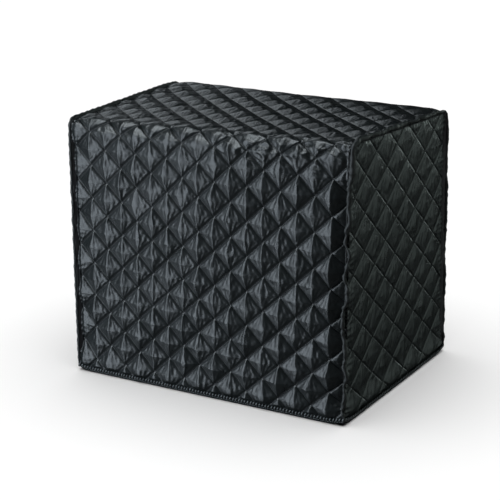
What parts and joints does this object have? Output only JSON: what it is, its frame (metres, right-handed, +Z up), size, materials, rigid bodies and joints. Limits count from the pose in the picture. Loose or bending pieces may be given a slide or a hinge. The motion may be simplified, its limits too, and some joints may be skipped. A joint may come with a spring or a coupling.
{
  "type": "quilted printer dust cover",
  "caption": "Soft quilted dust cover shaped like a box, open at the bottom: one long panel over front, top and back, two side panels, welted seams and a bound hem.",
  "frame": {"origin": "on the floor under the middle of the cover", "axes": "+Z up, the front panel faces -Y, +X towards the right side panel as seen from the front"},
  "size_m": [0.4522, 0.3078, 0.3814],
  "materials": {
    "shell": "satin",
    "wadding": "matte",
    "lining": "matte",
    "trim": "satin",
    "thread": "satin"
  },
  "bodies": {
    "root": {"main_shell": "shell", "main_wadding": "wadding", "main_lining": "lining", "right_shell": "shell", "right_wadding": "wadding", "right_lining": "lining", "left_shell": "shell", "left_wadding": "wadding", "left_lining": "lining", "right_seam_welt": "trim", "left_seam_welt": "trim", "right_seam_tape": "trim", "left_seam_tape": "trim", "right_seam_thread": "thread", "left_seam_thread": "thread", "main_needle_thread": "thread", "main_bobbin_thread": "thread", "right_needle_thread": "thread", "right_bobbin_thread": "thread", "left_needle_thread": "thread", "left_bobbin_thread": "thread", "hem_binding": "trim", "hem_thread": "thread"}
  },
  "joints": []
}
